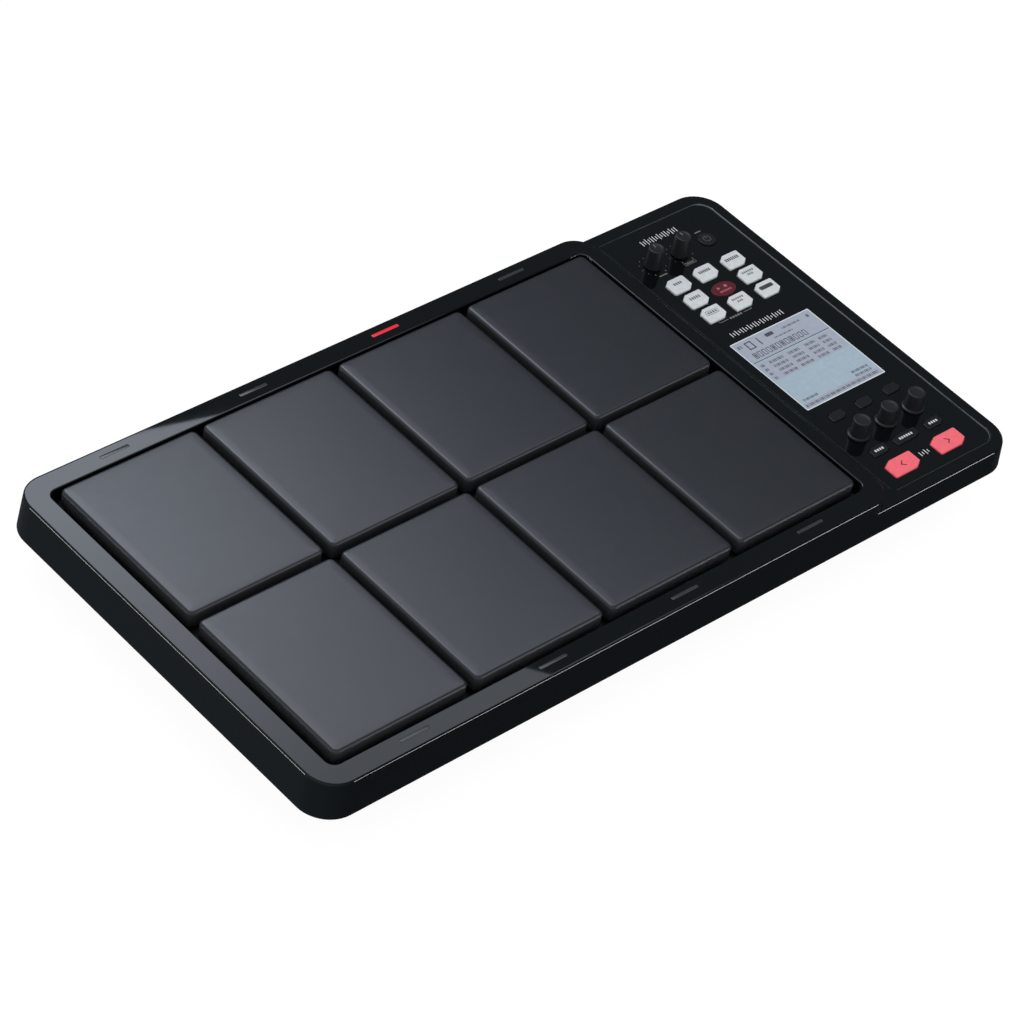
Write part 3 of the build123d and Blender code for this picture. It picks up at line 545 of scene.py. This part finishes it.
def knob_profile(node, foot_radius, top_radius, skirt):
    """Tapered grip with a rolled shoulder and a shallow dish in the top."""
    foot, top = low(node).z, high(node).z
    shoulder = 0.7 * MM
    shoulder_steps = 4
    dish = 0.35 * MM
    profile = []
    if skirt:
        profile += [
            (6.7 * MM, foot, False), (6.8 * MM, foot + 0.1 * MM, False),
            (6.8 * MM, foot + 1.05 * MM, False), (6.68 * MM, foot + 1.17 * MM, False),
        ]
        foot += 1.25 * MM
    else:
        profile.append((foot_radius - 0.3 * MM, foot, False))
    profile += [(foot_radius, foot + 0.4 * MM, False), (foot_radius, foot + 0.8 * MM, True)]
    profile.append((top_radius, top - shoulder - 0.4 * MM, True))
    profile.append((top_radius, top - shoulder, False))
    for step in range(1, shoulder_steps + 1):
        angle = math.radians(90 * step / shoulder_steps)
        inset, drop = shoulder * (1 - math.cos(angle)), shoulder * (1 - math.sin(angle))
        profile.append((top_radius - inset, top - drop, False))
    rim = top_radius - shoulder
    profile += [(rim - 0.35 * MM, top, False), (rim - 0.7 * MM, top - dish * 0.6, False)]
    profile += [(rim * 0.5, top - dish, False), (0.4 * MM, top - dish, False)]
    return profile


def pointer(node):
    """Short bar in the dish of a knob, which points to the back when the knob is at rest."""
    centre, top = middle(node), high(node).z

    def draw(build):
        """Add the bar."""
        outline = rounded_rectangle((centre.x, centre.y + 2.3 * MM), 0.6 * MM, 2.6 * MM, 0.2 * MM, 3)
        add_prism(build, outline, top - 0.4 * MM, top - 0.12 * MM)
    return draw


def knobs(kit):
    """Two volume knobs with pointers, and three encoder knobs with skirts."""
    for number, node in enumerate(VOLUME_KNOBS, 1):
        body = f"volume_control_{number}"
        profile = knob_profile(node, 5.5 * MM, 5.0 * MM, False)
        piece = turned("grip_" + node, middle(node), profile, kit["knob"], body)
        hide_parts(node)
        prints("pointer_" + node, pointer(node), kit["faint_ink"], body)
    for number, node in enumerate(ENCODER_KNOBS, 1):
        profile = knob_profile(node, 5.9 * MM, 5.4 * MM, True)
        piece = turned("grip_" + node, middle(node), profile, kit["knob"], f"encoder_{number}")
        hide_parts(node)


# ---------------------------------------------------------------- panel
def panel_edge(kit):
    """Pale chamfer round the recess, which shows where it faces the player."""
    lower, upper = low("panel_plate"), high("panel_plate")
    centre = middle("panel_plate")
    fit = 0.08 * MM
    width = upper.x - lower.x + 2 * fit
    depth = upper.y - lower.y + 2 * fit
    chamfer = 0.3 * MM
    corner = 10 * MM
    tight = 2 * MM
    corners = (tight, corner, corner, tight)
    inner_corners = tuple(radius - chamfer for radius in corners)
    outer = rounded_rectangle(centre, width, depth, corners, 16)
    inner = rounded_rectangle(centre, width - 2 * chamfer, depth - 2 * chamfer, inner_corners, 16)
    base = PANEL_Z + 0.01 * MM
    brim = DECK_Z - 0.12 * MM
    build = bmesh.new()
    skin_round(build, [at_height(outer, base), at_height(outer, brim), at_height(inner, base)])
    piece = finish_mesh("panel_edge_trim", build, kit["trim"], 30)
    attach(piece, "case")


def front_lip(build):
    """Painted highlight: a faint pale line on the deck along the front and the left of the recess, where
    its edge would catch light.
    """
    lower, upper = low("panel_plate"), high("panel_plate")
    gap = 0.5 * MM
    line = 0.35 * MM
    corner = 10 * MM
    corner_steps = 6
    front, back = lower.y - gap, upper.y - 2.5 * MM
    left = lower.x - gap
    hub_x, hub_y = upper.x + gap - corner, front + corner
    add_stroke(build, (lower.x + 2.5 * MM, front), (hub_x, front), line, DECK_Z)
    add_stroke(build, (left, front + 3 * MM), (left, back), 0.6 * line, DECK_Z)
    previous = (hub_x, front)
    for step in range(1, corner_steps + 1):
        angle = math.radians(-90 + 90 * step / corner_steps)
        point = (hub_x + corner * math.cos(angle), hub_y + corner * math.sin(angle))
        add_stroke(build, previous, point, line, DECK_Z)
        previous = point


def scale_dots(build):
    """Ring of dots on the panel round each volume knob, open towards the player."""
    radius = 8.3 * MM
    last = 10
    for node in VOLUME_KNOBS:
        centre = middle(node)
        for step in range(last + 1):
            angle = math.radians(-60 + 30 * step)
            place = (centre.x + radius * math.cos(angle), centre.y + radius * math.sin(angle))
            size = 0.45 * MM if step in (0, last) else 0.3 * MM
            add_prism(build, circle(place, size, 12), PANEL_Z, PANEL_Z + INK_HEIGHT)


def panel_labels(build):
    """Bars, one of them framed, beside the volume knobs and the power button."""
    first, second = (middle(node) for node in VOLUME_KNOBS)
    label_y = first.y - 9.6 * MM
    add_bar(build, (first.x, label_y), 6.4 * MM, 0.9 * MM, PANEL_Z)
    power = middle("power_button")
    add_bar(build, (power.x, power.y + 8.2 * MM), 5.0 * MM, 0.8 * MM, PANEL_Z)
    outer = rounded_rectangle((second.x, label_y), 9.2 * MM, 2.4 * MM, 0.5 * MM, 3)
    inner = rounded_rectangle((second.x, label_y), 8.6 * MM, 1.8 * MM, 0.3 * MM, 3)
    add_ring(build, outer, inner, PANEL_Z, PANEL_Z + INK_HEIGHT)
    add_bar(build, (second.x, label_y), 6.4 * MM, 0.7 * MM, PANEL_Z)


def function_bracket(build):
    """Bracket under two of the white keys, with a row of squares in its gap."""
    left, right = middle("setup_button"), middle("mute_button")
    y = low("setup_button").y - 1.0 * MM
    stroke = 0.4 * MM
    gap = 6.5 * MM
    centre = (left.x + right.x) / 2
    hook = 1.2 * MM
    left_end, right_end = left.x - 2 * MM, right.x + 2 * MM
    add_stroke(build, (left_end, y + hook), (left_end, y), stroke, PANEL_Z)
    add_stroke(build, (left_end, y), (centre - gap, y), stroke, PANEL_Z)
    add_stroke(build, (centre + gap, y), (right_end, y), stroke, PANEL_Z)
    add_stroke(build, (right_end, y), (right_end, y + hook), stroke, PANEL_Z)
    for step in range(5):
        add_bar(build, (centre + (step - 2) * 2.1 * MM, y), 1.5 * MM, 1.5 * MM, PANEL_Z)


def wave_sign(build, centre, length, height, bars, z):
    """Plain sign of thin upright bars, like the wave of a drum stroke."""
    pitch = length / bars
    for step in range(bars):
        swing = abs(math.sin(0.9 + 1.9 * step))
        x = centre[0] + (step - (bars - 1) / 2) * pitch
        add_bar(build, (x, centre[1]), 0.55 * MM, height * (0.35 + 0.65 * swing), z)


def panel_signs(build):
    """Plain signs in the places that carry names on such a panel."""
    knob = middle(VOLUME_KNOBS[1])
    wave_sign(build, (knob.x + 0.2 * MM, knob.y + 18.6 * MM), 30 * MM, 5.4 * MM, 15, PANEL_Z)
    screen = middle("lcd_lens")
    title = (screen.x - 4 * MM, high("lcd_lens").y + 6.2 * MM)
    wave_sign(build, title, 44 * MM, 4.4 * MM, 21, PANEL_Z)
    between = (middle("kit_down_button") + middle("kit_up_button")) / 2
    wave_sign(build, (between.x, between.y + 0.6 * MM), 8.5 * MM, 4.2 * MM, 4, PANEL_Z)


# ---------------------------------------------------------------- marks on the keys
def key_bars(count, length, thick):
    """A row of short upright bars, where a key carries a word."""
    def draw(build, centre, z):
        """Add the row."""
        pitch = length / count
        for step in range(count):
            x = centre.x + (step - (count - 1) / 2) * pitch
            add_bar(build, (x, centre.y), pitch * 0.62, thick, z)
    return draw


def key_plate(build, centre, z):
    """A filled plate, for a key with a dark label."""
    add_bar(build, (centre.x, centre.y), 10.5 * MM, 3.0 * MM, z)


def framed(build, centre, z):
    """Bars in a thin frame."""
    outer = rounded_rectangle(centre, 9.4 * MM, 3.6 * MM, 0.5 * MM, 3)
    inner = rounded_rectangle(centre, 8.8 * MM, 3.0 * MM, 0.3 * MM, 3)
    add_ring(build, outer, inner, z, z + INK_HEIGHT)
    key_bars(4, 7.6 * MM, 1.8 * MM)(build, centre, z)


def two_rows(build, centre, z):
    """A long row of bars above a short one."""
    for shift, count in ((-1.3 * MM, 3), (1.3 * MM, 6)):
        row = Vector((centre.x, centre.y + shift, z))
        key_bars(count, count * 1.6 * MM, 1.6 * MM)(build, row, z)


def start_mark(build, centre, z):
    """Triangle and square for start and stop, above a row of small bars."""
    x, y = centre.x, centre.y + 1.5 * MM
    size = 1.3 * MM
    play = [(x - 4.0 * MM, y - size), (x - 1.6 * MM, y), (x - 4.0 * MM, y + size)]
    add_prism(build, play, z, z + INK_HEIGHT)
    add_bar(build, (x + 2.6 * MM, y), 2.2 * MM, 2.2 * MM, z)
    key_bars(6, 9.5 * MM, 1.6 * MM)(build, Vector((x, centre.y - 1.9 * MM, z)), z)


SOFT_MARKS = {
    "metronome_button": key_bars(4, 7 * MM, 2.1 * MM),
    "song_button": key_bars(5, 8.5 * MM, 2.3 * MM),
    "reverb_button": two_rows,
    "setup_button": framed,
    "mute_button": two_rows,
}
STRONG_MARKS = {
    "mixer_button": key_bars(6, 9.5 * MM, 2.1 * MM),
    "effects_button": key_bars(7, 11.0 * MM, 2.5 * MM),
    "save_button": key_plate,
}


def mark_key(node, draw, material, shift=0.0):
    """Print a mark on top of a key, riding with it."""
    top = high(node).z
    centre = middle(node) + Vector((0, shift, 0))
    prints("mark_" + node, lambda build: draw(build, centre, top), material, node)


def chevron(direction):
    """Arrowhead of two strokes that points left or right."""
    def draw(build, centre, z):
        """Add the two strokes."""
        reach, half = 1.1 * MM, 2.0 * MM
        tip = (centre.x + direction * reach, centre.y)
        for side in (-1, 1):
            tail = (centre.x - direction * reach, centre.y + side * half)
            add_stroke(build, tail, tip, 0.75 * MM, z)
    return draw


def power_mark(build, centre, z):
    """Open ring with an upright stroke."""
    radius, line = 2.4 * MM, 0.4 * MM
    steps = 16
    previous = None
    for step in range(steps + 1):
        angle = math.radians(125 + 290 * step / steps)
        point = (centre.x + radius * math.cos(angle), centre.y + radius * math.sin(angle))
        if previous:
            add_stroke(build, previous, point, line, z)
        previous = point
    add_stroke(build, (centre.x, centre.y + 0.6 * MM), (centre.x, centre.y + 2.8 * MM), line, z)


def key_marks(kit):
    """The marks of every key."""
    lift = 1.3 * MM
    for node, draw in SOFT_MARKS.items():
        mark_key(node, draw, kit["grey_ink"], lift)
    for node, draw in STRONG_MARKS.items():
        mark_key(node, draw, kit["dark_ink"], lift)
    for node in MENU_KEYS:
        count = 6 if node == "click_button" else 4
        mark_key(node, key_bars(count, count * 1.9 * MM, 1.7 * MM), kit["ink"])
    mark_key("kit_down_button", chevron(-1), kit["red_ink"])
    mark_key("kit_up_button", chevron(1), kit["red_ink"])
    mark_key("start_button", start_mark, kit["dim_pink_ink"])
    mark_key("power_button", power_mark, kit["faint_ink"])


# ---------------------------------------------------------------- screen
FIELD_RISE = 0.5 * INK_HEIGHT       # the pale fields lie under the dark marks
ZERO = "abcdef"                     # strokes of a figure display: a at the top, then clockwise
ONE = "bc"
STEP_COUNT = 12


def add_figure(build, segments, centre, width, height, stroke, z):
    """Some of the outer strokes of a figure display."""
    left, right = centre[0] - width / 2, centre[0] + width / 2
    low_y, mid_y, top_y = centre[1] - height / 2, centre[1], centre[1] + height / 2
    ends = {
        "a": ((left, top_y), (right, top_y)), "b": ((right, mid_y), (right, top_y)),
        "c": ((right, low_y), (right, mid_y)), "d": ((left, low_y), (right, low_y)),
        "e": ((left, low_y), (left, mid_y)), "f": ((left, mid_y), (left, top_y)),
    }
    for segment in segments:
        add_stroke(build, *ends[segment], stroke, z)


def screen_place(across, up):
    """A point of the screen: across from its left edge and up from its front edge, 0 to 1."""
    lower, upper = low("lcd_lens"), high("lcd_lens")
    return lower.x + across * (upper.x - lower.x), lower.y + up * (upper.y - lower.y)


def word_bars(build, across, up, count, pitch, height, z, seed=0):
    """A row of short bars of uneven width, where a display has small type."""
    x, y = screen_place(across, up)
    for step in range(count):
        wobble = 0.55 + 0.25 * math.sin(2.3 * step + seed)
        add_bar(build, (x + step * pitch, y), pitch * wobble, height, z)


def screen_light(build):
    """Paler fields of the display: the block of figures, the table and the foot line."""
    size = high("lcd_lens") - low("lcd_lens")
    for bottom, top in ((0.70, 0.985), (0.43, 0.685), (0.015, 0.085)):
        centre = screen_place(0.5, (bottom + top) / 2)
        outline = rounded_rectangle(centre, 0.96 * size.x, (top - bottom) * size.y, 0.4 * MM, 3)
        add_prism(build, outline, SCREEN_Z, SCREEN_Z + FIELD_RISE)


def screen_dark(build):
    """Large figures, a row of drum steps and the rule under them."""
    z = SCREEN_Z + FIELD_RISE
    add_figure(build, ZERO, screen_place(0.17, 0.905), 4.4 * MM, 5.8 * MM, 0.8 * MM, z)
    add_figure(build, ONE, screen_place(0.26, 0.905), 3.4 * MM, 5.8 * MM, 0.8 * MM, z)
    for step in range(STEP_COUNT):
        place = screen_place(0.115 + 0.057 * step, 0.775)
        outer = rounded_rectangle(place, 2.7 * MM, 4.8 * MM, 0.4 * MM, 3)
        inner = rounded_rectangle(place, 1.7 * MM, 3.8 * MM, 0.2 * MM, 3)
        add_ring(build, outer, inner, z, z + INK_HEIGHT)
        if step % 4 == 0 or step == 6:
            add_bar(build, place, 0.9 * MM, 2.8 * MM, z)
    start, end = screen_place(0.02, 0.705), screen_place(0.98, 0.705)
    add_stroke(build, start, end, 0.5 * MM, z)
    add_bar(build, screen_place(0.435, 0.93), 6.4 * MM, 2.8 * MM, z)


def screen_soft(build):
    """Rows of bars: the status line, the table, the soft-key labels and the foot line."""
    z = SCREEN_Z + FIELD_RISE
    word_bars(build, 0.60, 0.925, 10, 1.5 * MM, 1.6 * MM, z, 5)
    word_bars(build, 0.45, 0.865, 12, 1.3 * MM, 1.2 * MM, z, 6)
    word_bars(build, 0.05, 0.93, 2, 2.0 * MM, 2.6 * MM, z, 3)
    word_bars(build, 0.93, 0.93, 1, 2.4 * MM, 2.4 * MM, z, 2)
    columns = ((0.06, 2), (0.17, 8), (0.40, 7), (0.62, 6), (0.80, 5))       # across, bars
    for row, up in enumerate((0.645, 0.585, 0.525, 0.465)):
        for column, (across, count) in enumerate(columns):
            word_bars(build, across, up, count, 1.45 * MM, 2.1 * MM, z, row + 2 * column)
    word_bars(build, 0.07, 0.115, 9, 1.35 * MM, 1.9 * MM, z, 3)
    word_bars(build, 0.73, 0.155, 9, 1.5 * MM, 2.0 * MM, z, 1)
    word_bars(build, 0.73, 0.105, 9, 1.5 * MM, 2.0 * MM, z, 7)
    word_bars(build, 0.04, 0.045, 38, 1.6 * MM, 2.1 * MM, z, 2)


def screen_border(build):
    """Thin pale edge of the display window."""
    centre, size = middle("lcd_lens"), high("lcd_lens") - low("lcd_lens")
    line = 0.55 * MM
    outer = rounded_rectangle(centre, size.x, size.y, 0.6 * MM, 3)
    inner = rounded_rectangle(centre, size.x - 2 * line, size.y - 2 * line, 0.3 * MM, 3)
    add_ring(build, outer, inner, SCREEN_Z, SCREEN_Z + INK_HEIGHT)


# ---------------------------------------------------------------- rear
def rear_marks(build):
    """Short bars above the sockets on the rear wall."""
    wall_y = high("lower_chassis").y
    z = middle("jack_sockets").z + 9.2 * MM
    flange = 7.25 * MM
    first, last = low("jack_sockets").x + flange, high("jack_sockets").x - flange
    places = [24 * MM * step for step in (0, 1, 2)] + [80 * MM, 104 * MM, 134 * MM]
    half_x, half_z = 3.5 * MM, 0.45 * MM
    for place in places:
        x = first + place / places[-1] * (last - first)
        loops = []
        for y in (wall_y, wall_y + INK_HEIGHT):
            loops.append([
                (x - half_x, y, z - half_z), (x + half_x, y, z - half_z),
                (x + half_x, y, z + half_z), (x - half_x, y, z + half_z),
            ])
        skin_loops(build, loops)


# ---------------------------------------------------------------- surroundings
FLOOR_HALF_SIDE = 25.0
SHEET_REACH = 0.9           # from the rim to a mirrored sheet
LAMP_REACH = 3.0            # from the middle of the object to a lamp
BRIGHT_SIDE = (-0.43, 1, 0)  # the mirrored sheet glows more and more this way


def emitter(name, colour, weak, strong):
    """Glow that grows towards the bright side, from weak to strong, each a (place, strength)."""
    material = bpy.data.materials.new(name)
    material.use_nodes = True
    material.node_tree.nodes.clear()
    glow = add_node(material, "ShaderNodeEmission", Color=(*colour, 1))
    place = add_node(material, "ShaderNodeTexCoord")
    along = add_node(material, "ShaderNodeVectorMath")
    along.operation = "DOT_PRODUCT"
    along.inputs[1].default_value = BRIGHT_SIDE
    wire(material, place.outputs["Object"], along.inputs[0])
    strength = span(material, along.outputs["Value"], weak[1], strong[1], weak[0], strong[0])
    wire(material, strength, glow.inputs["Strength"])
    output = add_node(material, "ShaderNodeOutputMaterial")
    wire(material, glow.outputs["Emission"], output.inputs["Surface"])
    return material


def floor():
    """Wide white floor that glows a little, so that it stays plain."""
    material = new_material("floor_white", (0.1, 0.1, 0.1), 0.9)
    shader = shader_of(material)
    shader.inputs["Specular IOR Level"].default_value = 0
    shader.inputs["Emission Color"].default_value = (1, 1, 1, 1)
    shader.inputs["Emission Strength"].default_value = 0.94
    build = bmesh.new()
    bmesh.ops.create_grid(build, x_segments=4, y_segments=4, size=FLOOR_HALF_SIDE)
    piece = finish_mesh("floor", build, material, None)
    piece.visible_glossy = False


def mirrored(eye, point, distance):
    """Where the ray from the eye that a level mirror turns at this point ends up."""
    ray = (point - eye).normalized()
    bounced = Vector((ray.x, ray.y, -ray.z))
    return point + bounced * distance


def reflected_sheet(name, eye, outline, glow):
    """Glowing sheet placed where its mirror image in the rim has this outline on the plan."""
    build = bmesh.new()
    corners = [mirrored(eye, Vector((x, y, RIM_Z)), SHEET_REACH) for x, y in outline]
    build.faces.new([build.verts.new(corner) for corner in corners])
    piece = finish_mesh(name, build, glow, None)
    piece.visible_camera = False
    piece.visible_diffuse = False
    piece.visible_shadow = False


def side_panel(eye):
    """Soft panel mirrored in the left end of the rim."""
    rim = [(-0.178, 0.134), (-0.126, 0.1205), (-0.116, -0.1205), (-0.106, -0.134)]
    wide = rim + [(-0.020, -0.45), (-0.49, -0.45), (-0.49, 0.70), (-0.330, 0.70)]
    colour = (0.82, 0.88, 1.0)
    reflected_sheet("soft_panel", eye, wide, emitter("soft_panel", colour, (0.195, 1.6), (0.515, 3.9)))


def glint_light(name, direction, width, height, radiance, receivers):
    """Lamp in a direction from the object, seen only as a reflection in its receivers."""
    place = LAMP_REACH * Vector(direction).normalized()
    data = bpy.data.lights.new(name, "AREA")
    data.shape = "RECTANGLE"
    data.size = width
    data.size_y = height
    data.energy = radiance * math.pi * width * height
    turn = (-place).to_track_quat("-Z", "Y").to_matrix().to_4x4()
    lamp = bpy.data.objects.new(name, data)
    lamp.matrix_world = Matrix.Translation(place) @ turn
    lamp.visible_camera = False
    lamp.visible_diffuse = False
    lamp.light_linking.receiver_collection = receivers
    bpy.context.collection.objects.link(lamp)


def group_of(name, pieces):
    """Collection of the pieces that a small lamp may light."""
    group = bpy.data.collections.new(name)
    for piece in pieces:
        group.objects.link(piece)
    return group


def glints(shell):
    """Lamps for the rounded edges: two for the case, and two weaker and higher ones for the pads.

    Those of the case stand low, so that its flat top mirrors them only in a view from as low down.
    """
    rubber = group_of("rubber_pieces", [bpy.data.objects["skin_" + pad] for pad in PADS])
    glint_light("glint_on_front_edges", (0.57, -0.82, 0.08), 1.5, 0.4, 18, shell)
    glint_light("glint_on_left_edges", (-0.88, 0.47, 0.08), 1.2, 0.4, 18, shell)
    glint_light("sheen_on_front_edges", (0.57, -0.80, 0.30), 1.5, 0.6, 3.0, rubber)
    glint_light("sheen_on_left_edges", (0.02, 0.48, 0.86), 1.2, 1.2, 3.0, rubber)


# Mirrored surroundings: darker to the right and below. Axis, its range, and the strengths there.
SKY_FADES = (("X", 0.5, -0.6, 0.16, 0.50), ("Z", -0.6, 0.6, 0.30, 0.90))


def sky():
    """White surroundings that light the case, and dark ones that its gloss mirrors."""
    world = bpy.data.worlds.new("studio")
    bpy.context.scene.world = world
    world.use_nodes = True
    tree = world.node_tree
    tree.nodes.clear()
    output = tree.nodes.new("ShaderNodeOutputWorld")
    plain = tree.nodes.new("ShaderNodeBackground")
    plain.inputs["Strength"].default_value = 1.0
    plain.inputs["Color"].default_value = (1, 1, 1, 1)
    dark = tree.nodes.new("ShaderNodeBackground")
    dark.inputs["Color"].default_value = (0.80, 0.92, 1.0, 1)
    world.cycles.sampling_method = "NONE"     # so that each kind of ray meets its own background
    choose = tree.nodes.new("ShaderNodeMixShader")
    path = tree.nodes.new("ShaderNodeLightPath")
    place = tree.nodes.new("ShaderNodeTexCoord")
    split = tree.nodes.new("ShaderNodeSeparateXYZ")
    link = tree.links.new
    link(place.outputs["Generated"], split.inputs["Vector"])
    strength = tree.nodes.new("ShaderNodeMath")
    strength.operation = "MULTIPLY"
    for number, (axis, *limits) in enumerate(SKY_FADES):
        fade = tree.nodes.new("ShaderNodeMapRange")
        for socket, value in zip(("From Min", "From Max", "To Min", "To Max"), limits):
            fade.inputs[socket].default_value = value
        link(split.outputs[axis], fade.inputs["Value"])
        link(fade.outputs["Result"], strength.inputs[number])
    link(strength.outputs["Value"], dark.inputs["Strength"])
    link(path.outputs["Is Glossy Ray"], choose.inputs["Fac"])
    link(plain.outputs["Background"], choose.inputs[1])
    link(dark.outputs["Background"], choose.inputs[2])
    link(choose.outputs["Shader"], output.inputs["Surface"])


# ---------------------------------------------------------------- assembly
bpy.context.scene.view_settings.view_transform = "Standard"
eye = place_camera()
looks = make_materials()
dress_cad(looks)
for pad in PADS:
    pad_mesh(pad, looks)
light_bars(looks)
knobs(looks)
panel_edge(looks)
# Painted highlight along the front and left edge of the recess.
prints("recess_front_lip", front_lip, looks["lip"], "case")
prints("volume_scales", scale_dots, looks["faint_ink"], "case")
prints("panel_labels", panel_labels, looks["faint_ink"], "case")
prints("function_bracket", function_bracket, looks["faint_ink"], "case")
prints("panel_signs", panel_signs, looks["ink"], "case")
key_marks(looks)
prints("screen_light_areas", screen_light, looks["screen_light"], "case")
prints("screen_figures", screen_dark, looks["pixel"], "case")
prints("screen_small_type", screen_soft, looks["pixel_soft"], "case")
prints("screen_border", screen_border, looks["edge_light"], "case")
prints("rear_marks", rear_marks, looks["faint_ink"], "case")
floor()
shell = group_of("glossy_shell", [NODES["upper_shell"]])
side_panel(eye)
sky()
glints(shell)
